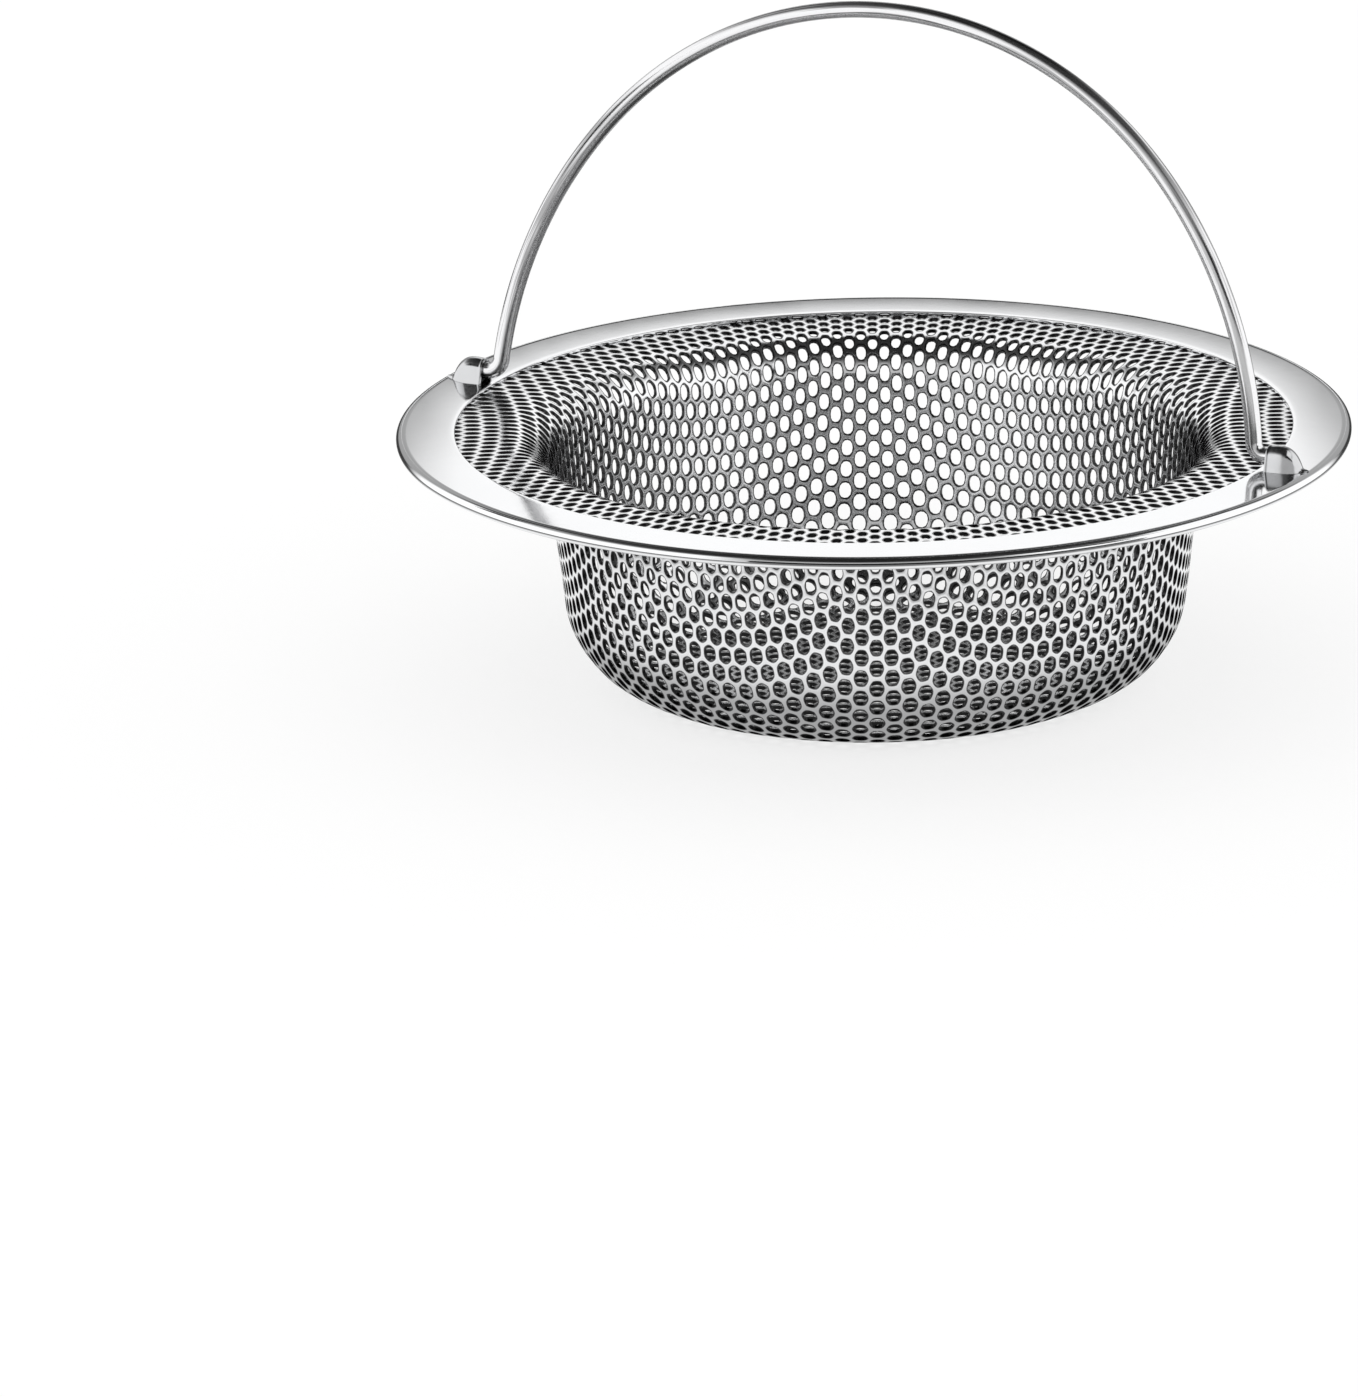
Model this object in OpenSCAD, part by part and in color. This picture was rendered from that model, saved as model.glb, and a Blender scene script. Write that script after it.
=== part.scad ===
// Kitchen sink basket strainer with a swinging wire bail.
// A deep-drawn perforated basket hangs from a rolled rim ring. Two pressed
// lugs on the ring carry the bent-in ends of the wire bail.
// Frame: origin at the centre of the basket floor's underside, +Z up,
// +X along the bail's pivot axis. Millimetres.

/* [Rim ring] */
// Outside radius of the rolled rim
rim_r = 57; // [50:0.5:60]
// Height of the rim's top face above the underside of the basket floor
rim_z = 31.4; // [28:0.2:36]
// Width of the plain band on top of the rim
band_w = 7; // [5:0.5:8]
// Thickness of the rim ring's sheet
ring_t = 0.45; // [0.3:0.05:0.6]
// Width of the hem folded under the flange
hem_w = 3.4; // [2:0.2:5]

/* [Basket] */
// Thickness of the perforated sheet
sheet_t = 0.5; // [0.4:0.05:0.6]
// Radius that the wall line would reach at floor level
wall_r0 = 36.0; // [34:0.2:37]
// Lean of the wall from upright, in degrees
wall_lean = 6.7; // [4:0.1:8]
// Outside radius of the bend between wall and floor
corner_r = 11.9; // [6:0.1:14]
// Outside radius of the bend between wall and flange
mouth_r = 4.5; // [3:0.1:5.5]

/* [Perforation] */
// Distance between neighbouring holes in the flat sheet
hole_pitch = 2.33; // [2:0.01:3]
// Diameter of a hole in the flat sheet
hole_d = 1.65; // [0.8:0.01:1.8]
// Diameter of a hole on the drawn flange
flange_hole_d = 1.4; // [0.8:0.01:1.5]
// Turn of the hole grid about the basket's axis
grid_turn = -5.7; // [-30:0.1:30]
// Stretch of the sheet along the drawn wall and flange
draw_stretch = 1.13; // [1.0:0.01:1.3]

/* [Bail] */
// Diameter of the bail wire
wire_d = 2.0; // [1.6:0.1:2.4]
// Height of the bail's top centreline above its pivot
bail_h = 48.4; // [44:0.1:50]
// Radius of the arch over the top
arch_r = 47.7; // [44:0.1:48.5]
// Half angle of the top arch
arch_a = 49.6; // [40:0.1:55]
// Radius of the flatter curve down each side
side_r = 54.9; // [53:0.1:60]
// Radius of the bend from leg to pivot pin
bend_r = 1.7; // [1.4:0.1:2.2]
// Lean of the bail away from upright
bail_lean = 7.5; // [-30:0.1:30]

/* [Pivot lugs] */
// Thickness of the lug's pressed sheet
lug_t = 0.35; // [0.25:0.05:0.5]
// Running clearance round the wire inside the lug
lug_gap = 0.05; // [0.03:0.01:0.1]
// Outward lean of the lug's cheeks, in degrees
cheek_lean = 15; // [0:1:20]
// Distance of the lug's open mouth from the basket axis
lug_r0 = 51.2; // [50.6:0.1:51.4]
// Length of the round tunnel
lug_len = 2.6; // [2:0.1:2.8]
// Length of the sloping nose
nose_len = 1.5; // [1:0.1:2]
// Length of the flat tail past the nose
tail_len = 0.9; // [0.4:0.1:1.2]

/* [Hidden] */
wire_r = wire_d / 2;
tunnel_r = wire_r + lug_gap;
lug_or = tunnel_r + lug_t;
// pivot axis height: the wire clears the band by 0.4
pivot_z = rim_z + wire_r + 0.4;
// flange sheet sits clamped between the band and the folded hem
flange_top = rim_z - ring_t;
flange_bot = flange_top - sheet_t;
hem_h = 2 * ring_t + sheet_t;
roll_r = hem_h / 2;
flange_r = rim_r - roll_r;
// bend between floor and wall
cw = cos(wall_lean);
sw = sin(wall_lean);
tw = tan(wall_lean);
floor_r = wall_r0 - corner_r / tan((90 + wall_lean) / 2);
wall_p0 = [floor_r + corner_r * cw, corner_r - corner_r * sw];
// bend between wall and flange
mouth_cz = flange_bot - mouth_r;
mouth_cx = wall_r0 + tw * (mouth_cz + mouth_r * sw) + mouth_r * cw;
wall_p1 = [mouth_cx - mouth_r * cw, mouth_cz + mouth_r * sw];
inward = [-cw, sw] * sheet_t;
// radius in the flat blank of the point where the flange begins
draw_len = (corner_r - sheet_t / 2) * (90 - wall_lean) * PI / 180
         + norm(wall_p1 - wall_p0)
         + (mouth_r + sheet_t / 2) * (90 - wall_lean) * PI / 180;
blank_r = floor_r + draw_len / draw_stretch;
// bail curve
arch_cz = bail_h - arch_r;
side_c = [(arch_r - side_r) * sin(arch_a), arch_cz + (arch_r - side_r) * cos(arch_a)];
leg_a = acos((bend_r - side_c[1]) / (side_r + bend_r));
pin_x0 = side_c[0] + (side_r + bend_r) * sin(leg_a);
pin_x1 = lug_r0 + lug_len - 0.35;
// joints between stretches of the bail wire
joint_gap = 0.05;
joint_len = 0.36;
joint_r = 0.03;
pin_chamfer = 0.25;
pin_len = pin_x1 - pin_x0 - joint_gap;

// sheet section between two radii round a centre, from angle a0 to a1
module bend_section(c, r_in, r_out, a0, a1) {
  big = r_out * 2;
  am = (a0 + a1) / 2;
  translate(c) intersection() {
    difference() {
      circle(r = r_out, $fn = 96);
      circle(r = r_in, $fn = 96);
    }
    polygon([[0, 0],
             [big * cos(a0), big * sin(a0)],
             [big * 1.4 * cos(am), big * 1.4 * sin(am)],
             [big * cos(a1), big * sin(a1)]]);
  }
}

// hex grid of the flat blank, as centre points
function grid_points(rmin, rmax) = [
  for (i = [-34:34]) for (j = [-34:34])
    let (x = hole_pitch * (i + j / 2), y = hole_pitch * j * sqrt(3) / 2, q = norm([x, y]))
    if (q >= rmin && q < rmax) [x, y]
];

module floor_disc() {
  linear_extrude(sheet_t) difference() {
    circle(r = floor_r, $fn = 180);
    rotate(grid_turn) for (p = grid_points(0, floor_r - hole_d / 2 - 0.2))
      translate(p) circle(d = hole_d, $fn = 24);
  }
}

module flange_plate() {
  translate([0, 0, flange_bot]) linear_extrude(sheet_t) difference() {
    circle(r = flange_r, $fn = 180);
    circle(r = mouth_cx, $fn = 180);
    rotate(grid_turn)
      for (p = grid_points(blank_r + 0.8, blank_r + (rim_r - band_w - mouth_cx - 0.8) / draw_stretch)) {
        q = norm(p);
        translate(p / q * (mouth_cx + (q - blank_r) * draw_stretch)) circle(d = flange_hole_d, $fn = 24);
      }
  }
}

module basket_wall() {
  rotate_extrude($fn = 180) {
    bend_section([floor_r, corner_r], corner_r - sheet_t, corner_r, -90, -wall_lean);
    polygon([wall_p0, wall_p1, wall_p1 + inward, wall_p0 + inward]);
    bend_section([mouth_cx, mouth_cz], mouth_r, mouth_r + sheet_t, 90, 180 - wall_lean);
  }
}

// deep-drawn perforated basket with its flat flange
module basket() color([0.78, 0.79, 0.80]) union() {
  floor_disc();
  basket_wall();
  flange_plate();
}

// rim ring: a flat band on top, rolled over and hemmed under the flange
module rim_ring() color([0.88, 0.88, 0.89]) rotate_extrude($fn = 180) {
  translate([rim_r - band_w, flange_top]) square([band_w - roll_r, ring_t]);
  translate([rim_r - roll_r - hem_w, rim_z - hem_h]) square([hem_w, ring_t]);
  bend_section([rim_r - roll_r, rim_z - roll_r], roll_r - ring_t, roll_r, -90, 90);
}

// section of the lug across the pivot axis: a round roof on two leaning cheeks
module lug_section(r, below = 0) {
  foot = rim_z - pivot_z - below;
  half = r * cos(cheek_lean) + (r * sin(cheek_lean) - foot) * tan(cheek_lean);
  polygon(concat(
    [[half, foot]],
    [for (k = [0:20]) let (a = cheek_lean + (180 - 2 * cheek_lean) * k / 20) [r * cos(a), r * sin(a)]],
    [[-half, foot]]
  ));
}

// pressed pivot lug on the +X side, open towards the basket
module lug() translate([0, 0, pivot_z]) difference() {
  union() {
    translate([lug_r0, 0, 0]) rotate([90, 0, 90]) linear_extrude(lug_len) lug_section(lug_or);
    // sloping nose with a narrow flat tail
    hull() {
      translate([lug_r0 + lug_len, 0, 0]) rotate([90, 0, 90]) linear_extrude(0.02) lug_section(lug_or);
      translate([lug_r0 + lug_len + nose_len, 0, rim_z - pivot_z + lug_t / 2])
        cube([0.02, lug_or * 1.1, lug_t], center = true);
    }
    translate([0, 0, rim_z - pivot_z]) linear_extrude(lug_t)
      polygon([[lug_r0 + lug_len + nose_len, -lug_or * 0.55], [lug_r0 + lug_len + nose_len + tail_len, -0.2],
               [lug_r0 + lug_len + nose_len + tail_len, 0.2], [lug_r0 + lug_len + nose_len, lug_or * 0.55]]);
  }
  // tunnel that the bail's pin turns in
  translate([lug_r0 - 1, 0, 0]) rotate([90, 0, 90]) linear_extrude(lug_len + 1) lug_section(tunnel_r, below = 1);
}

module right_lug() color([0.62, 0.63, 0.65]) lug();
module left_lug() color([0.72, 0.73, 0.75]) mirror([1, 0, 0]) lug();

// stretch of bent wire round a centre in the bail's own upright plane,
// stopping a hair short of the joint at each end
module wire_arc(c, r, a0, a1) {
  g = joint_gap / r * 180 / PI;
  translate([c[0], 0, c[1]]) rotate([90, 0, 0]) rotate([0, 0, a0 + g])
    rotate_extrude(angle = a1 - a0 - 2 * g, $fn = 180) translate([r, 0]) circle(r = wire_r, $fn = 32);
}

// short straight length that joins two stretches of the wire at polar angle a of an arc
module wire_joint(c, r, a) {
  translate([c[0] + r * cos(a), 0, c[1] + r * sin(a)]) rotate([0, -a, 0])
    cylinder(r = wire_r + joint_r, h = joint_len, center = true, $fn = 32);
}

// one side of the bail: side curve, bend and pivot pin
module bail_side() {
  wire_joint(side_c, side_r, 90 - arch_a);
  wire_arc(side_c, side_r, 90 - leg_a, 90 - arch_a);
  wire_joint(side_c, side_r, 90 - leg_a);
  wire_arc([pin_x0, bend_r], bend_r, 270 - leg_a, 270);
  wire_joint([pin_x0, bend_r], bend_r, 270);
  // pin, chamfered at its end
  translate([pin_x0 + joint_gap, 0, 0]) rotate([0, 90, 0]) rotate_extrude($fn = 32)
    polygon([[0, 0], [wire_r, 0], [wire_r, pin_len - pin_chamfer], [wire_r - pin_chamfer, pin_len], [0, pin_len]]);
}

// wire bail, turned from upright about its pivot axis
module bail() color([0.80, 0.80, 0.81]) translate([0, 0, pivot_z]) rotate([-bail_lean, 0, 0]) union() {
  wire_arc([0, arch_cz], arch_r, 90 - arch_a, 90 + arch_a);
  bail_side();
  mirror([1, 0, 0]) bail_side();
}

basket();
rim_ring();
left_lug();
right_lug();
bail();
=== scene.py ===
import math

import bpy
import numpy as np
from mathutils import Matrix, Vector


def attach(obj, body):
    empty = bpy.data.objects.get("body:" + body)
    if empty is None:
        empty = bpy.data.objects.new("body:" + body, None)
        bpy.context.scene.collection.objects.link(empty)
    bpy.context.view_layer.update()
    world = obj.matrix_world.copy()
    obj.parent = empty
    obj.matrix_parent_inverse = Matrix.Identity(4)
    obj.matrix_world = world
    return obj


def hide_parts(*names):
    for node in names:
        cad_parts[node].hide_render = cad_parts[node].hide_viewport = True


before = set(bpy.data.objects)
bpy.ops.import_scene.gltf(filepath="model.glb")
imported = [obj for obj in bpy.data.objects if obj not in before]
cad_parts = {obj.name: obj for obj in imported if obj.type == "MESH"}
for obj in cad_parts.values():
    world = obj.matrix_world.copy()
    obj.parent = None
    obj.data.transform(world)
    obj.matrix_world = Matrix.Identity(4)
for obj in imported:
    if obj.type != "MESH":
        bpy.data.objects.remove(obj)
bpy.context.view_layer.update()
MM = 0.001

# ---------------------------------------------------------------- sizes (mm)
RIM_R, RIM_Z, BAND_W, RING_T, HEM_W = 57.0, 31.4, 7.0, 0.45, 3.4
SHEET_T, WALL_R0, LEAN, CORNER_R, MOUTH_R = 0.5, 36.0, math.radians(6.7), 11.9, 4.5
PITCH, HOLE_R, GRID_TURN, STRETCH = 2.33, 0.825, math.radians(-5.7), 1.13
WIRE_R, BAIL_H, ARCH_R, ARCH_A, SIDE_R, BEND_R = 1.0, 48.4, 47.7, math.radians(49.6), 54.9, 1.7
BAIL_LEAN = math.radians(7.5)
PIVOT_Z = RIM_Z + WIRE_R + 0.4
LUG_R0, LUG_LEN, NOSE_LEN, TAIL_LEN, LUG_T = 51.2, 2.6, 1.5, 0.9, 0.35
CHEEK_LEAN = math.radians(15)
LUG_OR = WIRE_R + 0.05 + LUG_T

HEM_H = 2 * RING_T + SHEET_T
ROLL_R = HEM_H / 2
FLANGE_BOT = RIM_Z - RING_T - SHEET_T
CW, SW, TW = math.cos(LEAN), math.sin(LEAN), math.tan(LEAN)
FLOOR_R = WALL_R0 - CORNER_R / math.tan((math.pi / 2 + LEAN) / 2)
MOUTH_CZ = FLANGE_BOT - MOUTH_R
MOUTH_CX = WALL_R0 + TW * (MOUTH_CZ + MOUTH_R * SW) + MOUTH_R * CW
W0 = np.array([FLOOR_R + CORNER_R * CW, CORNER_R - CORNER_R * SW])
W1 = np.array([MOUTH_CX - MOUTH_R * CW, MOUTH_CZ + MOUTH_R * SW])


# ---------------------------------------------------------------- helpers
def new_object(name, verts_mm, faces, smooth=True, sharp=None):
    me = bpy.data.meshes.new(name)
    me.from_pydata([tuple(v) for v in np.asarray(verts_mm) * MM], [], faces)
    me.validate()
    me.update()
    if smooth:
        me.polygons.foreach_set("use_smooth", [True] * len(me.polygons))
    if sharp is not None:
        me.set_sharp_from_angle(angle=math.radians(sharp))
    ob = bpy.data.objects.new(name, me)
    bpy.context.scene.collection.objects.link(ob)
    return ob


def node(nt, kind, **values):
    n = nt.nodes.new(kind)
    for k, v in values.items():
        setattr(n, k, v)
    return n


# ---------------------------------------------------------------- materials
def steel(name, colour, rough, streak=None, cloud=0.5, cloud_scale=90.0, bump=0.1, fine=900.0,
          tint=0.05, coords=None, lines=0.0, hole_shade_paint=None):
    """Stainless steel: base colour with faint clouding, roughness that varies from place to place and a fine bump.
    streak: (x, y, z) scale that stretches the fine pattern, for rolled, turned or drawn lines.
    lines: how dark the deepest of those lines are. punched: (attribute, darkest tone) of the painted shade in the hole
    walls and in a thin ring round each hole, far darker than bare steel."""
    m = bpy.data.materials.new(name)
    m.use_nodes = True
    nt = m.node_tree
    p = nt.nodes["Principled BSDF"]
    p.inputs["Metallic"].default_value = 1.0
    if coords:
        src = node(nt, "ShaderNodeAttribute", attribute_name=coords).outputs["Vector"]
    else:
        src = node(nt, "ShaderNodeTexCoord").outputs["Object"]
    # slow clouding
    n1 = node(nt, "ShaderNodeTexNoise")
    n1.inputs["Scale"].default_value = cloud_scale
    n1.inputs["Detail"].default_value = 4.0
    nt.links.new(src, n1.inputs["Vector"])
    # fine pattern
    mp = node(nt, "ShaderNodeMapping")
    mp.inputs["Scale"].default_value = streak or (1, 1, 1)
    nt.links.new(src, mp.inputs["Vector"])
    n2 = node(nt, "ShaderNodeTexNoise")
    n2.inputs["Scale"].default_value = fine
    n2.inputs["Detail"].default_value = 3.0
    n2.inputs["Roughness"].default_value = 0.6
    nt.links.new(mp.outputs["Vector"], n2.inputs["Vector"])
    # colour
    ramp = node(nt, "ShaderNodeMix", data_type="RGBA")
    ramp.inputs["A"].default_value = (*[c * (1 - tint) for c in colour], 1)
    ramp.inputs["B"].default_value = (*[min(1, c * (1 + tint)) for c in colour], 1)
    nt.links.new(n1.outputs["Fac"], ramp.inputs["Factor"])
    tone = ramp.outputs["Result"]

    def darken(source, stops):
        nonlocal tone
        cr = node(nt, "ShaderNodeValToRGB")
        e = cr.color_ramp.elements
        e[0].position, e[1].position = stops[0][0], stops[-1][0]
        e[0].color, e[1].color = (stops[0][1],) * 3 + (1,), (stops[-1][1],) * 3 + (1,)
        for pos, val in stops[1:-1]:
            e.new(pos).color = (val,) * 3 + (1,)
        nt.links.new(source, cr.inputs["Fac"])
        mul = node(nt, "ShaderNodeMix", data_type="RGBA", blend_type="MULTIPLY")
        mul.inputs["Factor"].default_value = 1.0
        nt.links.new(tone, mul.inputs["A"])
        nt.links.new(cr.outputs["Color"], mul.inputs["B"])
        tone = mul.outputs["Result"]

    if lines:
        darken(n2.outputs["Fac"], [(0.0, 1 - lines), (0.40, 1 - lines), (0.47, 1.0), (1.0, 1.0)])
    # painted shade in the holes: the hole walls and a thin ring round each hole are darkened to the given tone
    if hole_shade_paint:
        at = node(nt, "ShaderNodeAttribute", attribute_name=hole_shade_paint[0])
        darken(at.outputs["Fac"], [(0.0, 1.0), (0.52, 1.0), (0.73, hole_shade_paint[1]), (1.0, hole_shade_paint[1])])
    nt.links.new(tone, p.inputs["Base Color"])
    # roughness
    add = node(nt, "ShaderNodeMix", data_type="FLOAT")
    add.inputs["Factor"].default_value = cloud
    nt.links.new(n2.outputs["Fac"], add.inputs["A"])
    nt.links.new(n1.outputs["Fac"], add.inputs["B"])
    mr = node(nt, "ShaderNodeMapRange")
    mr.inputs["From Min"].default_value = 0.3
    mr.inputs["From Max"].default_value = 0.7
    mr.inputs["To Min"].default_value = rough[0]
    mr.inputs["To Max"].default_value = rough[1]
    nt.links.new(add.outputs["Result"], mr.inputs["Value"])
    nt.links.new(mr.outputs["Result"], p.inputs["Roughness"])
    # bump
    if bump:
        b = node(nt, "ShaderNodeBump")
        b.inputs["Strength"].default_value = bump
        b.inputs["Distance"].default_value = 0.00005
        nt.links.new(n2.outputs["Fac"], b.inputs["Height"])
        nt.links.new(b.outputs["Normal"], p.inputs["Normal"])
    return m


mat_band = steel("polished_rim_steel", (0.86, 0.865, 0.875), (0.05, 0.12), bump=0.05, cloud_scale=60, fine=700)
# the sheet's hole walls and the ring round each hole carry painted shade, 5 % of the sheet's colour
mat_sheet = steel("perforated_sheet_steel", (0.83, 0.835, 0.845), (0.10, 0.22), bump=0.10, cloud_scale=120, fine=1100,
                  hole_shade_paint=("hole_shade_paint", 0.05))
mat_lug = steel("pressed_lug_steel", (0.60, 0.605, 0.615), (0.10, 0.22), bump=0.12, cloud_scale=300, fine=1600)
mat_wire = steel("drawn_wire_steel", (0.80, 0.80, 0.81), (0.10, 0.24), streak=(1, 1, 0.015), cloud=0.25,
                 cloud_scale=200, bump=0.35, fine=2600, coords="along_wire", lines=0.55)


# ---------------------------------------------------------------- basket
def sheet_profile(s):
    """Mid-surface radius, height and inward normal at arc length s from the floor's centre."""
    s = np.asarray(s, float)
    rc, rm = CORNER_R - SHEET_T / 2, MOUTH_R + SHEET_T / 2
    turn = math.pi / 2 - LEAN
    s1 = FLOOR_R
    s2 = s1 + rc * turn
    wl = float(np.hypot(*(W1 - W0)))
    s3 = s2 + wl
    s4 = s3 + rm * turn
    r = np.zeros_like(s); z = np.zeros_like(s); nr = np.zeros_like(s); nz = np.ones_like(s)
    k = s <= s1
    r[k] = s[k]; z[k] = SHEET_T / 2
    k = (s > s1) & (s <= s2)
    a = (s[k] - s1) / rc
    r[k] = FLOOR_R + rc * np.sin(a); z[k] = CORNER_R - rc * np.cos(a); nr[k] = -np.sin(a); nz[k] = np.cos(a)
    k = (s > s2) & (s <= s3)
    base = W0 + np.array([-CW, SW]) * SHEET_T / 2
    d = s[k] - s2
    r[k] = base[0] + d * SW; z[k] = base[1] + d * CW; nr[k] = -CW; nz[k] = SW
    k = (s > s3) & (s <= s4)
    a = math.pi - LEAN - (s[k] - s3) / rm
    r[k] = MOUTH_CX + rm * np.cos(a); z[k] = MOUTH_CZ + rm * np.sin(a); nr[k] = np.cos(a); nz[k] = np.sin(a)
    k = s > s4
    r[k] = MOUTH_CX + (s[k] - s4); z[k] = FLANGE_BOT + SHEET_T / 2
    return r, z, nr, nz, (s1, s2, s3, s4)


S_MARKS = sheet_profile([0.0])[4]


def formed(x, y, off):
    """Where a point of the flat blank (mm) ends up on the drawn basket, off mm from mid-surface towards the inside."""
    q = np.hypot(x, y)
    th = np.arctan2(y, x)
    s = np.where(q <= FLOOR_R, q, FLOOR_R + (q - FLOOR_R) * STRETCH)
    r, z, nr, nz, _ = sheet_profile(s)
    # a guessed unevenness of the drawn wall, a few hundredths of a millimetre
    w = np.clip((s - FLOOR_R - 1) / 10, 0, 1) * np.clip((S_MARKS[3] - s) / 6, 0, 1)
    wob = 0.035 * np.sin(5 * th + 0.31 * s) + 0.025 * np.sin(11 * th - 0.47 * s + 1.3) + 0.02 * np.sin(3 * th + 0.9 * s)
    o = off + wob * w
    rr = r + nr * o
    return np.stack([rr * np.cos(th), rr * np.sin(th), z + nz * o], -1)


def make_basket():
    r_end = RIM_R - ROLL_R - 0.6
    blank_r = FLOOR_R + (S_MARKS[3] - FLOOR_R) / STRETCH
    q_end = blank_r + (r_end - MOUTH_CX) / STRETCH - PITCH * 0.6
    n = 36
    cells = []
    for j in range(-n, n + 1):
        for i in range(-n, n + 1):
            x = PITCH * (i + j / 2); y = PITCH * j * math.sqrt(3) / 2
            if math.hypot(x, y) <= q_end:
                cells.append((i, j, x, y))
    ct, st = math.cos(GRID_TURN), math.sin(GRID_TURN)
    # corners of the hexagonal cells are shared: key them on a fine integer lattice
    hexr = PITCH / math.sqrt(3)
    corner_id, corners = {}, []
    cell_corner = []
    for i, j, x, y in cells:
        ids = []
        for k in range(6):
            a = math.radians(30 + 60 * k)
            cx, cy = x + hexr * math.cos(a), y + hexr * math.sin(a)
            key = (round(cx / PITCH * 6), round(cy / PITCH * 6 * math.sqrt(3)))
            if key not in corner_id:
                corner_id[key] = len(corners)
                corners.append((cx, cy))
            ids.append(corner_id[key])
        cell_corner.append(ids)
    corners = np.array(corners)
    cc = np.array([(c[2], c[3]) for c in cells])
    nring = 12
    ang = np.radians(np.arange(nring) * 30.0)
    # hole rings: an ellipse that follows the draw, taller along the meridian than the grid itself
    q = np.hypot(cc[:, 0], cc[:, 1])
    er = np.where(q[:, None] > 1e-6, cc / np.maximum(q, 1e-6)[:, None], [1.0, 0.0])
    et = np.stack([-er[:, 1], er[:, 0]], -1)
    w = np.clip((q - FLOOR_R) / 14.0, 0, 1)
    # a little tighter again where the sheet is ironed flat between mouth and rim
    flat = 1 - 0.14 * np.clip((q - blank_r + 3.0) / 3.0, 0, 1)
    amp_r = (1 + 0.05 * w) * flat
    amp_t = (1 + 0.02 * w) * flat
    ring = np.zeros((len(cells), nring, 2))
    for k in range(nring):
        d = np.array([math.cos(ang[k]), math.sin(ang[k])])
        dr = er @ d
        dt = et @ d
        full = 1 + 0.22 * w * (dr * dt) ** 2           # drawing leaves the holes a little square-shouldered
        ring[:, k] = cc + HOLE_R * ((dr * amp_r * full)[:, None] * er + (dt * amp_t * full)[:, None] * et)

    def rot(p):
        return np.stack([p[..., 0] * ct - p[..., 1] * st, p[..., 0] * st + p[..., 1] * ct], -1)

    corners_r, ring_r = rot(corners), rot(ring.reshape(-1, 2))
    h = SHEET_T / 2
    roll = 0.055
    nc, nr_ = len(corners), len(ring_r)
    v = np.vstack([
        formed(corners_r[:, 0], corners_r[:, 1], h),
        formed(ring_r[:, 0], ring_r[:, 1], h - roll),
        formed(corners_r[:, 0], corners_r[:, 1], -h),
        formed(ring_r[:, 0], ring_r[:, 1], -h + roll * 0.6),
    ])
    faces = []
    edge_use = {}
    b0 = nc + nr_
    for ci, ids in enumerate(cell_corner):
        r0 = nc + ci * nring
        r1 = b0 + nc + ci * nring
        for k in range(6):
            a, b = ids[k], ids[(k + 1) % 6]
            m0, m1, m2 = (2 * k) % 12, (2 * k + 1) % 12, (2 * k + 2) % 12
            faces.append((a, r0 + m1, r0 + m0))
            faces.append((a, r0 + m2, r0 + m1))
            faces.append((a, b, r0 + m2))
            faces.append((b0 + a, r1 + m0, r1 + m1))
            faces.append((b0 + a, r1 + m1, r1 + m2))
            faces.append((b0 + a, r1 + m2, b0 + b))
            e = (min(a, b), max(a, b))
            edge_use.setdefault(e, []).append((a, b))
        for k in range(nring):
            k2 = (k + 1) % nring
            faces.append((r0 + k, r0 + k2, r1 + k2, r1 + k))
    for uses in edge_use.values():
        if len(uses) == 1:
            a, b = uses[0]
            faces.append((b, a, b0 + a, b0 + b))
    ob = new_object("perforated_basket", v, faces, sharp=38)
    # painted shade round the holes, per vertex: 1 on the inner face's hole rings, 0.86 on the outer face's, 0 at the
    # cell corners
    hole_shade_mask = np.zeros(len(v), np.float32)
    hole_shade_mask[nc:nc + nr_] = 1.0
    hole_shade_mask[b0 + nc:] = 0.86                              # less dark on the outer face: fitted, not known
    at = ob.data.attributes.new("hole_shade_paint", "FLOAT", "POINT")
    at.data.foreach_set("value", hole_shade_mask)
    return ob, len(cells)


basket, hole_count = make_basket()
basket.data.materials.append(mat_sheet)
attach(basket, "strainer")
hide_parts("basket")


# ---------------------------------------------------------------- rim ring
def revolve(name, prof, seg=360, sharp=None):
    prof = np.asarray(prof, float)
    n = len(prof)
    th = np.linspace(0, 2 * math.pi, seg, endpoint=False)
    v = np.stack([
        prof[None, :, 0] * np.cos(th)[:, None],
        prof[None, :, 0] * np.sin(th)[:, None],
        np.broadcast_to(prof[None, :, 1], (seg, n)),
    ], -1).reshape(-1, 3)
    faces = []
    for i in range(seg):
        i2 = (i + 1) % seg
        for k in range(n):
            k2 = (k + 1) % n
            faces.append((i * n + k, i2 * n + k, i2 * n + k2, i * n + k2))
    return new_object(name, v, faces, sharp=sharp)


def arc(cx, cz, r, a0, a1, n):
    a = np.radians(np.linspace(a0, a1, n))
    return [(cx + r * math.cos(t), cz + r * math.sin(t)) for t in a]


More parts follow.
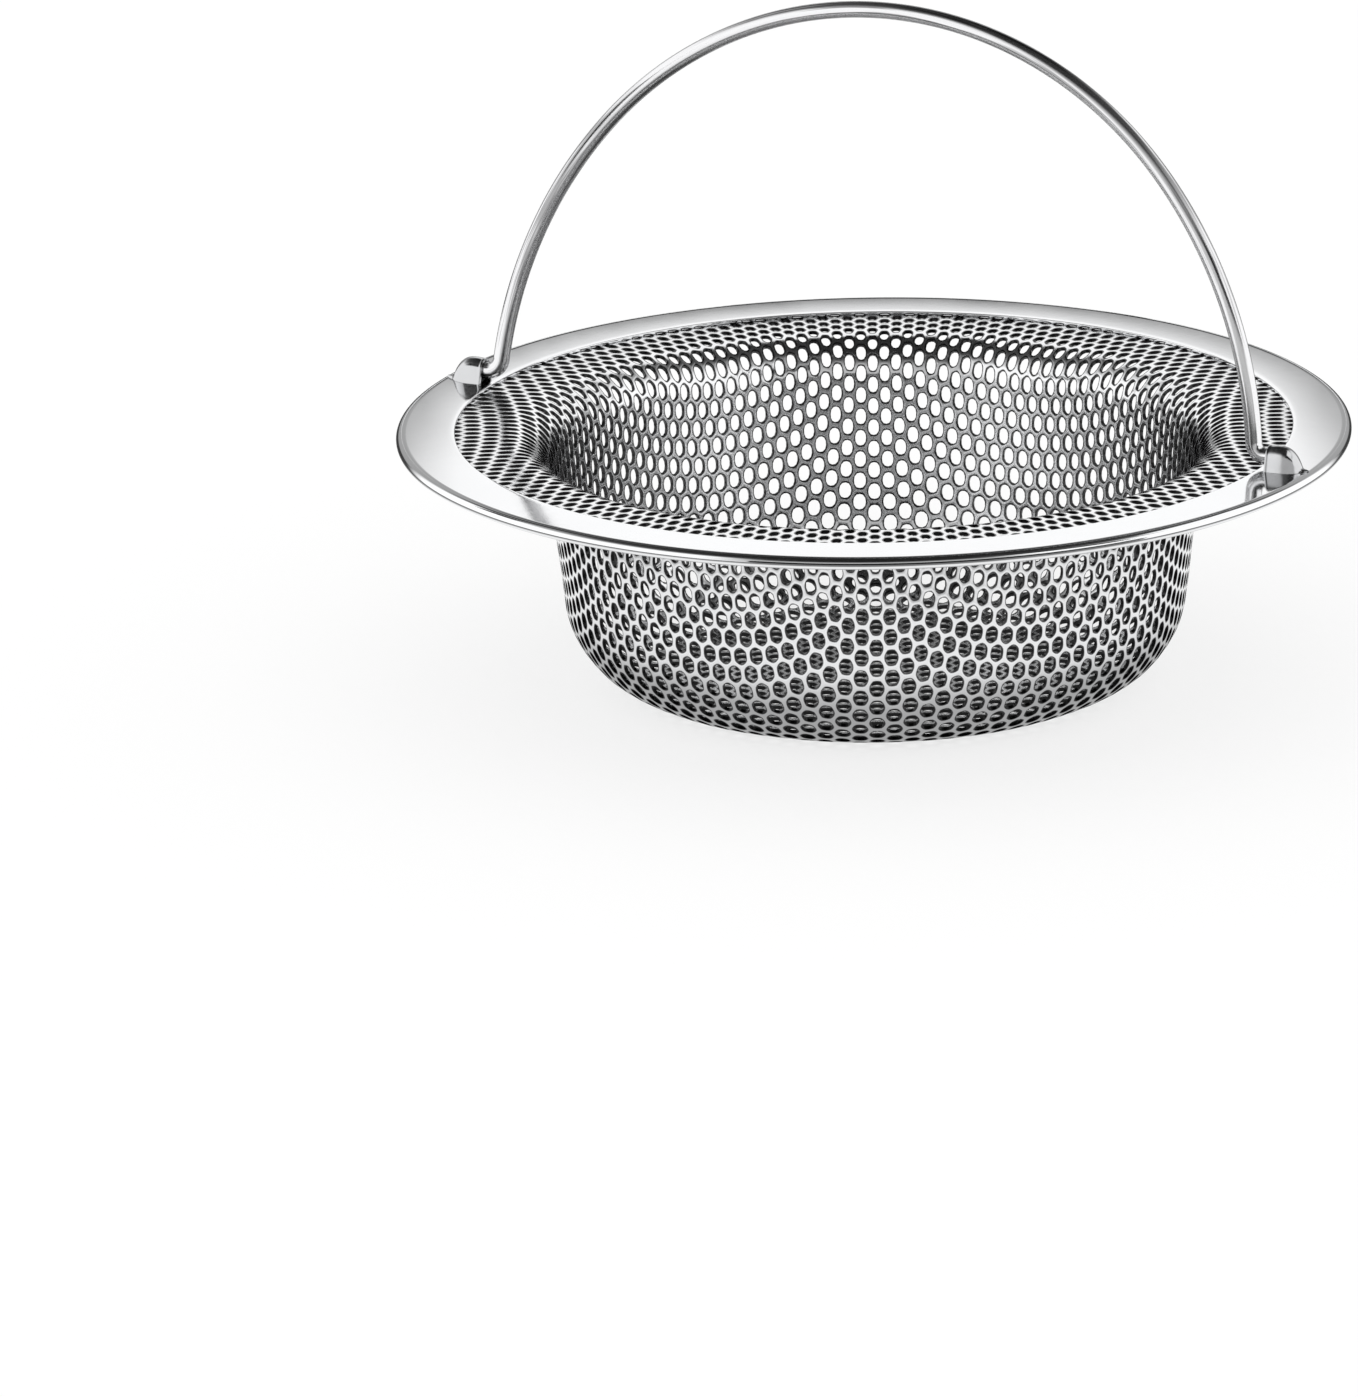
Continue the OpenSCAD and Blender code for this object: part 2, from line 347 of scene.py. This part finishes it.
def ring_profile():
    ri, ro = RIM_R - BAND_W, RIM_R - ROLL_R
    top, t = RIM_Z, RING_T
    p = []
    # inner edge of the band, softly rounded, then the flat band, which falls away a hair at its outer side
    p += arc(ri + 0.14, top - 0.14, 0.14, 180, 90, 5)
    n = 15
    for k in range(1, n):
        u = k / n
        r = ri + 0.14 + (ro - 0.10 - ri - 0.14) * u
        p.append((r, top + 0.012 - 0.012 * u ** 3))
    # crease, then the rolled hem
    p += [(ro - 0.06, top + 0.0), (ro + 0.0, top - 0.045), (ro + 0.06, top - 0.035)]
    p += arc(ro, top - ROLL_R, ROLL_R, 84, -90, 22)
    zi = top - HEM_H
    p.append((ro - HEM_W * 0.5, zi))
    p += arc(ro - HEM_W + 0.12, zi + 0.12, 0.12, 270, 180, 4)
    p += arc(ro - HEM_W + 0.12, zi + t - 0.12, 0.12, 180, 90, 4)
    p.append((ro - HEM_W * 0.5, zi + t))
    p += arc(ro, top - ROLL_R, ROLL_R - t, -90, 90, 7)
    p.append((ro - BAND_W * 0.5, top - t))
    p += arc(ri + 0.12, top - t + 0.12, 0.12, 270, 200, 3)
    return p[::-1]


rim = revolve("rolled_rim_ring", ring_profile(), seg=384, sharp=50)
rim.data.materials.append(mat_band)
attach(rim, "strainer")
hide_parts("rim_ring")


# ---------------------------------------------------------------- pivot lugs
def lug_mesh(name, side):
    """Pressed sheet: a domed tunnel on leaning cheeks with a curled lip at its mouth, sinking to a pointed tail on the band."""
    L0, L1 = LUG_R0, LUG_R0 + LUG_LEN
    x_end = L1 + NOSE_LEN + TAIL_LEN
    cheek0 = PIVOT_Z - RIM_Z

    def section(r, n_cheek=6, n_roof=15):
        """Half-open outline from foot to foot, (across, height above the band)."""
        cl, sl = math.cos(CHEEK_LEAN), math.sin(CHEEK_LEAN)
        top = cheek0 + r * sl
        foot = r * cl + top * math.tan(CHEEK_LEAN)
        out = [(-foot + (foot - r * cl) * k / n_cheek, top * k / n_cheek) for k in range(n_cheek)]
        for k in range(n_roof + 1):
            t = math.pi - CHEEK_LEAN - (math.pi - 2 * CHEEK_LEAN) * k / n_roof
            out.append((r * math.cos(t), cheek0 + r * math.sin(t)))
        return out + [(-y, z) for y, z in reversed(out[:n_cheek])]

    outer, inner = section(LUG_OR), section(LUG_OR - LUG_T)
    sect = len(outer)
    full, foot = cheek0 + LUG_OR, outer[-1][0]
    xs = [L0, L0 + 0.05, L0 + 0.14, L0 + 0.24, L0 + 0.36, L0 + 0.50]
    xs += list(np.linspace(L0 + 0.8, L1 - 0.3, 5)) + list(np.linspace(L1, x_end, 15))
    P, Q = [], []
    for x in xs:
        # rounded shoulder, then a hollow slope down to the tail
        u = min(max((x - L1 + 0.45) / (NOSE_LEN + 0.45), 0), 1)
        ease = u ** 1.7 * (1 - 0.18 * math.sin(math.pi * u))
        along = min(max((x - L0) / (L1 - L0), 0), 1)
        dome = 0.10 * math.sin(math.pi * along) ** 2
        lip = 0.07 * max(0.0, 1 - abs((x - L0 - 0.14) / 0.20)) if x < L0 + 0.34 else 0.0
        hh = (full + dome + lip) * (1 - ease) + 0.40 * ease
        ww = (foot + dome * 0.3 + lip) * (1 - ease) + 0.80 * ease
        if x > L1 + NOSE_LEN:
            t = (x - L1 - NOSE_LEN) / TAIL_LEN
            ww = 0.68 * (1 - t) ** 0.9 + 0.12
            hh = 0.40 - 0.12 * t
        P.append([(x, y * ww / foot, z * hh / full) for y, z in outer])
        if x < L1:
            ky = kz = 1.0 + (hh / full - 1) * (1 if x < L1 - 0.3 else 0.9)
            Q.append([(x, y * ky, z * kz) for y, z in inner])
        else:
            fx = L1 - 0.05 + (x - L1) * 0.5
            ky, kz = max(ww - 0.34, 0.06) / inner[-1][0], max(hh - 0.26, 0.06) / (full - LUG_T)
            Q.append([(fx, y * ky, z * kz) for y, z in inner])
    ns = len(xs)
    V = np.array([q for row in P for q in row] + [q for row in Q for q in row])
    V[:, 2] += RIM_Z + 0.02
    F = []
    off = ns * sect
    for i in range(ns - 1):
        for j in range(sect - 1):
            a, b = i * sect + j, i * sect + j + 1
            c, d = (i + 1) * sect + j + 1, (i + 1) * sect + j
            F.append((a, b, c, d))
            F.append((off + a, off + d, off + c, off + b))
    for i in range(ns - 1):
        a, d = i * sect, (i + 1) * sect
        F.append((a, d, off + d, off + a))
        a, d = i * sect + sect - 1, (i + 1) * sect + sect - 1
        F.append((a, off + a, off + d, d))
    for j in range(sect - 1):
        F.append((j, off + j, off + j + 1, j + 1))
        a, b = (ns - 1) * sect + j, (ns - 1) * sect + j + 1
        F.append((a, b, off + b, off + a))
    if side < 0:
        V[:, 0] *= -1
        F = [f[::-1] for f in F]
    ob = new_object(name, V, F)
    bev = ob.modifiers.new("edge", "BEVEL")
    bev.width = 0.05 * MM
    bev.segments = 2
    bev.limit_method = "ANGLE"
    bev.angle_limit = math.radians(55)
    sub = ob.modifiers.new("smooth", "SUBSURF")
    sub.levels = sub.render_levels = 1
    ob.data.materials.append(mat_lug)
    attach(ob, "strainer")
    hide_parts("right_lug" if side > 0 else "left_lug")
    return ob


lug_mesh("pivot_lug_right", 1)
lug_mesh("pivot_lug_left", -1)


# ---------------------------------------------------------------- bail
def bail_path():
    arch_cz = BAIL_H - ARCH_R
    scx = (ARCH_R - SIDE_R) * math.sin(ARCH_A)
    scz = arch_cz + (ARCH_R - SIDE_R) * math.cos(ARCH_A)
    leg = math.acos((BEND_R - scz) / (SIDE_R + BEND_R))
    px0 = scx + (SIDE_R + BEND_R) * math.sin(leg)
    px1 = LUG_R0 + LUG_LEN - 0.35
    half = []
    for a in np.linspace(0, ARCH_A, 34):
        half.append((ARCH_R * math.sin(a), arch_cz + ARCH_R * math.cos(a)))
    for a in np.linspace(ARCH_A, leg, 30)[1:]:
        half.append((scx + SIDE_R * math.sin(a), scz + SIDE_R * math.cos(a)))
    for a in np.linspace(leg, 0, 12)[1:]:
        half.append((px0 - BEND_R * math.sin(a), BEND_R - BEND_R * math.cos(a)))
    for x in np.linspace(px0, px1 - 0.25, 5)[1:]:
        half.append((x, 0.0))
    half = np.array(half)
    full = np.vstack([half[::-1], half[1:] * [-1, 1]])
    return full


def make_bail():
    path = bail_path()
    n = len(path)
    tan = np.gradient(path, axis=0)
    tan /= np.linalg.norm(tan, axis=1)[:, None]
    nor = np.stack([tan[:, 1], -tan[:, 0]], -1)
    s = np.concatenate([[0], np.cumsum(np.linalg.norm(np.diff(path, axis=0), axis=1))])
    sides = 28
    th = np.linspace(0, 2 * math.pi, sides, endpoint=False)
    rings, along = [], []

    def ring(c, nv, r, push, tv, sv):
        for t in th:
            a, b = math.cos(t) * r, math.sin(t) * r
            rings.append((c[0] + nv[0] * a + tv[0] * push, b, c[1] + nv[1] * a + tv[1] * push))
            along.append((math.cos(t) * WIRE_R, math.sin(t) * WIRE_R, sv))

    for push, r in ((0.25, 0.55), (0.19, 0.80), (0.10, 0.94)):
        ring(path[0], nor[0], r * WIRE_R, -push, tan[0], -push)
    for k in range(n):
        ring(path[k], nor[k], WIRE_R, 0, tan[k], s[k])
    for push, r in ((0.10, 0.94), (0.19, 0.80), (0.25, 0.55)):
        ring(path[-1], nor[-1], r * WIRE_R, push, tan[-1], s[-1] + push)
    m = len(rings) // sides
    F = []
    for k in range(m - 1):
        for j in range(sides):
            j2 = (j + 1) % sides
            F.append((k * sides + j, (k + 1) * sides + j, (k + 1) * sides + j2, k * sides + j2))
    F.append(tuple(range(sides)))
    F.append(tuple((m - 1) * sides + j for j in range(sides))[::-1])
    V = np.array(rings)
    c, s_ = math.cos(BAIL_LEAN), math.sin(BAIL_LEAN)
    y = V[:, 1] * c + V[:, 2] * s_
    z = -V[:, 1] * s_ + V[:, 2] * c
    V = np.stack([V[:, 0], y, z + PIVOT_Z], -1)
    ob = new_object("wire_bail", V, F, sharp=45)
    at = ob.data.attributes.new("along_wire", "FLOAT_VECTOR", "POINT")
    at.data.foreach_set("vector", (np.array(along) * MM).ravel())
    ob.data.materials.append(mat_wire)
    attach(ob, "bail")
    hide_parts("bail")
    return ob


make_bail()


# ---------------------------------------------------------------- camera
def make_camera():
    az, el, roll = math.radians(24.3), math.radians(16.0), math.radians(-0.727)
    dist, px_per_mm = 2000.0, 8.379
    focal_px = px_per_mm * dist
    d = Vector((math.sin(az) * math.cos(el), -math.cos(az) * math.cos(el), math.sin(el)))
    fwd = -d
    right = Vector((math.cos(az), math.sin(az), 0))
    up = right.cross(fwd)
    r2 = right * math.cos(roll) + up * math.sin(roll)
    u2 = up * math.cos(roll) - right * math.sin(roll)
    ax = (679.0 - 873.6) / focal_px
    ay = -(698.5 - 424.3) / focal_px
    f2 = (fwd + r2 * ax + u2 * ay).normalized()
    r3 = (r2 - f2 * r2.dot(f2)).normalized()
    u3 = r3.cross(f2)
    cam = bpy.data.cameras.new("photo_camera")
    ob = bpy.data.objects.new("photo_camera", cam)
    bpy.context.scene.collection.objects.link(ob)
    m = Matrix((r3, u3, -f2)).transposed().to_4x4()
    m.translation = (Vector((0, 0, RIM_Z)) + d * dist) * MM
    ob.matrix_world = m
    cam.sensor_fit = "HORIZONTAL"
    cam.sensor_width = 36.0
    cam.lens = 36.0 * focal_px / 1358.0
    cam.clip_start, cam.clip_end = 0.05, 50
    bpy.context.scene.camera = ob


make_camera()


# ---------------------------------------------------------------- studio
def ramp_node(nt, source, stops):
    cr = nt.nodes.new("ShaderNodeValToRGB")
    e = cr.color_ramp.elements
    e[0].position, e[1].position = stops[0][0], stops[-1][0]
    e[0].color, e[1].color = (stops[0][1],) * 3 + (1,), (stops[-1][1],) * 3 + (1,)
    for pos, val in stops[1:-1]:
        e.new(pos).color = (val,) * 3 + (1,)
    nt.links.new(source, cr.inputs["Fac"])
    return cr.outputs["Color"]


CAM_AZ = math.radians(24.3)
TOWARDS = Vector((math.sin(CAM_AZ), -math.cos(CAM_AZ), 0))   # level, from the strainer to the camera
ACROSS = Vector((math.cos(CAM_AZ), math.sin(CAM_AZ), 0))


def by_elevation(pairs):
    """Ramp stops from (elevation in degrees, brightness) pairs."""
    return [((math.sin(math.radians(el)) + 1) / 2, v) for el, v in pairs]


def make_world():
    """A light tent: open at both sides, a low window behind, dark towards the camera and overhead.
    Only reflections see it. The camera and the floor see plain white."""
    w = bpy.data.worlds.new("studio")
    bpy.context.scene.world = w
    w.use_nodes = True
    nt = w.node_tree
    nt.nodes.clear()

    def math_node(op, *ins):
        m = nt.nodes.new("ShaderNodeMath")
        m.operation = op
        for k, x in enumerate(ins):
            if isinstance(x, (int, float)):
                m.inputs[k].default_value = x
            else:
                nt.links.new(x, m.inputs[k])
        return m.outputs[0]

    tc = nt.nodes.new("ShaderNodeTexCoord")
    sep = nt.nodes.new("ShaderNodeSeparateXYZ")
    nt.links.new(tc.outputs["Generated"], sep.inputs[0])
    x, y, z = sep.outputs
    level = math_node("SQRT", math_node("MAXIMUM", math_node("SUBTRACT", 1.0, math_node("MULTIPLY", z, z)), 1e-4))
    along = math_node("ADD", math_node("MULTIPLY", x, TOWARDS.x), math_node("MULTIPLY", y, TOWARDS.y))
    facing = math_node("DIVIDE", along, level)
    up = math_node("MULTIPLY_ADD", z, 0.5, 0.5)
    front = ramp_node(nt, up, by_elevation(FRONT))
    side = ramp_node(nt, up, by_elevation(SIDE))
    back = ramp_node(nt, up, by_elevation(BACK))

    def smooth(lo, hi, v):
        mr = nt.nodes.new("ShaderNodeMapRange")
        mr.interpolation_type = "SMOOTHSTEP"
        mr.inputs["From Min"].default_value = lo
        mr.inputs["From Max"].default_value = hi
        nt.links.new(v, mr.inputs["Value"])
        return mr.outputs["Result"]

    def blend(fac, a, b):
        mx = nt.nodes.new("ShaderNodeMix")
        mx.data_type = "RGBA"
        nt.links.new(fac, mx.inputs["Factor"])
        nt.links.new(a, mx.inputs["A"])
        nt.links.new(b, mx.inputs["B"])
        return mx.outputs["Result"]

    tone = blend(smooth(0.72, 0.88, facing), side, front)
    tone = blend(smooth(-0.70, -0.86, facing), tone, back)
    bg = nt.nodes.new("ShaderNodeBackground")
    nt.links.new(tone, bg.inputs["Color"])
    bg.inputs["Strength"].default_value = 1.20
    plain = nt.nodes.new("ShaderNodeBackground")
    plain.inputs["Color"].default_value = (1.0, 1.0, 1.0, 1)
    lp = nt.nodes.new("ShaderNodeLightPath")
    mix = nt.nodes.new("ShaderNodeMixShader")
    nt.links.new(lp.outputs["Is Glossy Ray"], mix.inputs["Fac"])
    nt.links.new(plain.outputs[0], mix.inputs[1])
    nt.links.new(bg.outputs[0], mix.inputs[2])
    out = nt.nodes.new("ShaderNodeOutputWorld")
    nt.links.new(mix.outputs[0], out.inputs["Surface"])


def make_floor():
    me = bpy.data.meshes.new("studio_floor")
    s = 12.0
    me.from_pydata([(-s, -s, 0), (s, -s, 0), (s, s, 0), (-s, s, 0)], [], [(0, 1, 2, 3)])
    ob = bpy.data.objects.new("studio_floor", me)
    bpy.context.scene.collection.objects.link(ob)
    ob.location = (0, 0, -0.00002)
    ob.visible_glossy = False
    m = bpy.data.materials.new("studio_floor")
    m.use_nodes = True
    p = m.node_tree.nodes["Principled BSDF"]
    p.inputs["Base Color"].default_value = (0.30, 0.30, 0.30, 1)
    p.inputs["Roughness"].default_value = 1.0
    p.inputs["Specular IOR Level"].default_value = 0.0
    p.inputs["Emission Color"].default_value = (1, 1, 1, 1)
    p.inputs["Emission Strength"].default_value = 0.71
    me.materials.append(m)


def make_painted_floor_shade():
    """The floor round the foot as the metal sees it, on a glowing disc that only reflections see: painted shadow under
    and round the foot, bright further out, then dark.
    """
    me = bpy.data.meshes.new("floor_reflection")
    rings, seg = [0.0, 0.03, 0.06, 0.09, 0.12, 0.16], 64
    v, f = [(0, 0, 0)], []
    for r in rings[1:]:
        v += [(r * math.cos(2 * math.pi * k / seg), r * math.sin(2 * math.pi * k / seg), 0) for k in range(seg)]
    for k in range(seg):
        f.append((0, 1 + k, 1 + (k + 1) % seg))
        for q in range(len(rings) - 2):
            a, b = 1 + q * seg, 1 + (q + 1) * seg
            f.append((a + k, b + k, b + (k + 1) % seg, a + (k + 1) % seg))
    me.from_pydata(v, [], f)
    ob = bpy.data.objects.new("floor_reflection", me)
    bpy.context.scene.collection.objects.link(ob)
    ob.location = (0, 0, -0.00001)
    m = bpy.data.materials.new("floor_reflection")
    m.use_nodes = True
    nt = m.node_tree
    nt.nodes.clear()
    tc = nt.nodes.new("ShaderNodeTexCoord")
    ln = nt.nodes.new("ShaderNodeVectorMath")
    ln.operation = "LENGTH"
    nt.links.new(tc.outputs["Object"], ln.inputs[0])
    k = nt.nodes.new("ShaderNodeMath")
    k.operation = "MULTIPLY"
    k.inputs[1].default_value = 1 / 0.16
    nt.links.new(ln.outputs["Value"], k.inputs[0])
    em = nt.nodes.new("ShaderNodeEmission")
    nt.links.new(ramp_node(nt, k.outputs[0], [(r / 160.0, t) for r, t in PAINTED_FLOOR_SHADE]), em.inputs["Color"])
    tr = nt.nodes.new("ShaderNodeBsdfTransparent")
    mx = nt.nodes.new("ShaderNodeMixShader")
    nt.links.new(ramp_node(nt, k.outputs[0], [(0, 0), (0.86, 0), (0.98, 1), (1, 1)]), mx.inputs["Fac"])
    nt.links.new(em.outputs[0], mx.inputs[1])
    nt.links.new(tr.outputs[0], mx.inputs[2])
    out = nt.nodes.new("ShaderNodeOutputMaterial")
    nt.links.new(mx.outputs[0], out.inputs["Surface"])
    me.materials.append(m)
    ob.visible_camera = ob.visible_diffuse = ob.visible_shadow = False


def glow_card(name, verts, tone):
    """One flat card of the studio, dark or bright, seen only by reflections. Corners as (across, towards, up) in mm."""
    me = bpy.data.meshes.new(name)
    me.from_pydata([tuple(ACROSS * (a * MM) + TOWARDS * (t * MM) + Vector((0, 0, u * MM))) for a, t, u in verts],
                   [], [tuple(range(len(verts)))])
    ob = bpy.data.objects.new(name, me)
    bpy.context.scene.collection.objects.link(ob)
    m = bpy.data.materials.new(name)
    m.use_nodes = True
    nt = m.node_tree
    nt.nodes.clear()
    e = nt.nodes.new("ShaderNodeEmission")
    e.inputs["Color"].default_value = (tone, tone, tone, 1)
    o = nt.nodes.new("ShaderNodeOutputMaterial")
    nt.links.new(e.outputs[0], o.inputs["Surface"])
    me.materials.append(m)
    ob.visible_camera = ob.visible_diffuse = ob.visible_shadow = False


def flag(name, points, towards, tone):
    """A card standing across the camera's line, points as (across, up)."""
    glow_card(name, [(a, towards, b) for a, b in points], tone)


def facing_card(name, eye, azimuth, elevation, dist, width, height, tone):
    """A card that faces the point eye, off in a direction given from the camera's line, in degrees."""
    az, el = math.radians(azimuth), math.radians(elevation)
    d = Vector((math.sin(az) * math.cos(el), math.cos(az) * math.cos(el), math.sin(el)))
    r = Vector((math.cos(az), -math.sin(az), 0))
    u = r.cross(d)
    c = Vector(eye) + d * dist
    glow_card(name, [c + r * (i * width / 2) + u * (j * height / 2) for i, j in ((-1, -1), (1, -1), (1, 1), (-1, 1))], tone)


# brightness by elevation, as the metal sees it
FRONT = [(-90, 0.6), (-30, 0.6), (-12, 0.6), (5, 0.55), (14, 0.50), (26, 0.45), (38, 0.16), (48, 0.03), (60, 0.012), (90, 0.012)]
SIDE = [(-90, 0.6), (-40, 0.95), (-20, 1.0), (34, 1.0), (46, 0.35), (56, 0.05), (70, 0.02), (90, 0.012)]
BACK = [(-90, 0.35), (-30, 0.06), (-5, 0.04), (6, 0.05), (12, 0.20), (18, 0.36), (28, 0.36), (36, 0.05), (60, 0.012), (90, 0.012)]
# brightness of the floor by distance from the axis, mm, as the metal sees it: painted shadow near the foot, bright at
# 60 to 78 mm, dark beyond
PAINTED_FLOOR_SHADE = [(0, 0.24), (38, 0.45), (50, 0.80), (60, 1.0), (78, 0.98), (88, 0.52), (100, 0.36), (113, 0.18), (128, 0.08), (160, 0.08)]

# brightness of the window behind the strainer, by distance in mm from its mirror image's centre in the band
WINDOW = [(0, 1.10), (47, 1.10), (50, 1.05), (52, 0.92), (54, 0.80), (57, 0.57), (59, 0.46), (63, 0.40), (120, 0.38)]
WINDOW_BACK = 80.0


def make_window():
    """A soft window close behind the strainer: the level band shows it as a bright round patch
    that fades out over the band's outer edge at the back and the sides."""
    t16 = math.tan(math.radians(16))
    na, nu = 61, 57
    verts, tones, faces = [], [], []
    for j in range(nu):
        up = 31.6 + 62.0 * j / (nu - 1)
        for i in range(na):
            across = -120 + 240 * i / (na - 1)
            t = (up - RIM_Z) / t16 - WINDOW_BACK       # where the band would show this point, towards the camera
            spread = 1 - 0.0035 * min(max(t, 0), 60)
            dt = (t - 5) * (0.5 if t > 5 else 1)
            d = math.hypot(across * spread, dt)
            if t < 5 and d > 1:
                d += (d - 61) * (dt / d) ** 2          # a quicker fade along the back
            low = float(np.interp(up, [34, 36, 40, 44], [0.10, 0.25, 0.75, 1.0])) if t < 0 and d > 63 else 1.0
            tones.append(low * float(np.interp(d, [w[0] for w in WINDOW], [w[1] for w in WINDOW])))
            verts.append(tuple(ACROSS * (across * MM) - TOWARDS * (WINDOW_BACK * MM) + Vector((0, 0, up * MM))))
    for j in range(nu - 1):
        for i in range(na - 1):
            a = j * na + i
            faces.append((a, a + 1, a + na + 1, a + na))
    me = bpy.data.meshes.new("window")
    me.from_pydata(verts, [], faces)
    me.attributes.new("tone", "FLOAT", "POINT").data.foreach_set("value", tones)
    ob = bpy.data.objects.new("window", me)
    bpy.context.scene.collection.objects.link(ob)
    m = bpy.data.materials.new("window")
    m.use_nodes = True
    nt = m.node_tree
    nt.nodes.clear()
    at = node(nt, "ShaderNodeAttribute", attribute_name="tone")
    e = nt.nodes.new("ShaderNodeEmission")
    nt.links.new(at.outputs["Fac"], e.inputs["Strength"])
    o = nt.nodes.new("ShaderNodeOutputMaterial")
    nt.links.new(e.outputs[0], o.inputs["Surface"])
    me.materials.append(m)
    ob.visible_camera = ob.visible_diffuse = ob.visible_shadow = False


make_world()
make_floor()
make_painted_floor_shade()
make_window()
# the front card is open between 42 and 74 mm, where the band looks from behind
flag("front_flag_low", [(-35, 24), (130, 24), (130, 42), (-35, 42)], 90, 0.012)
flag("front_flag_high", [(32, 74), (130, 74), (130, 130), (55, 110)], 90, 0.012)
flag("low_card", [(-35, 0), (130, 0), (130, 24), (-35, 24)], 90, 0.20)
facing_card("left_flag", (-49, -20, 33), -56.8, 44, 60, 26, 24, 0.04)
facing_card("nose_card", (50, 24, 33), 80, 58, 40, 40, 18, 1.15)

bpy.context.scene.view_settings.view_transform = "Standard"
bpy.context.scene.view_settings.look = "None"
bpy.context.scene.view_settings.exposure = 0.0

print("holes:", hole_count, "basket triangles:", sum(len(p.vertices) - 2 for p in basket.data.polygons))
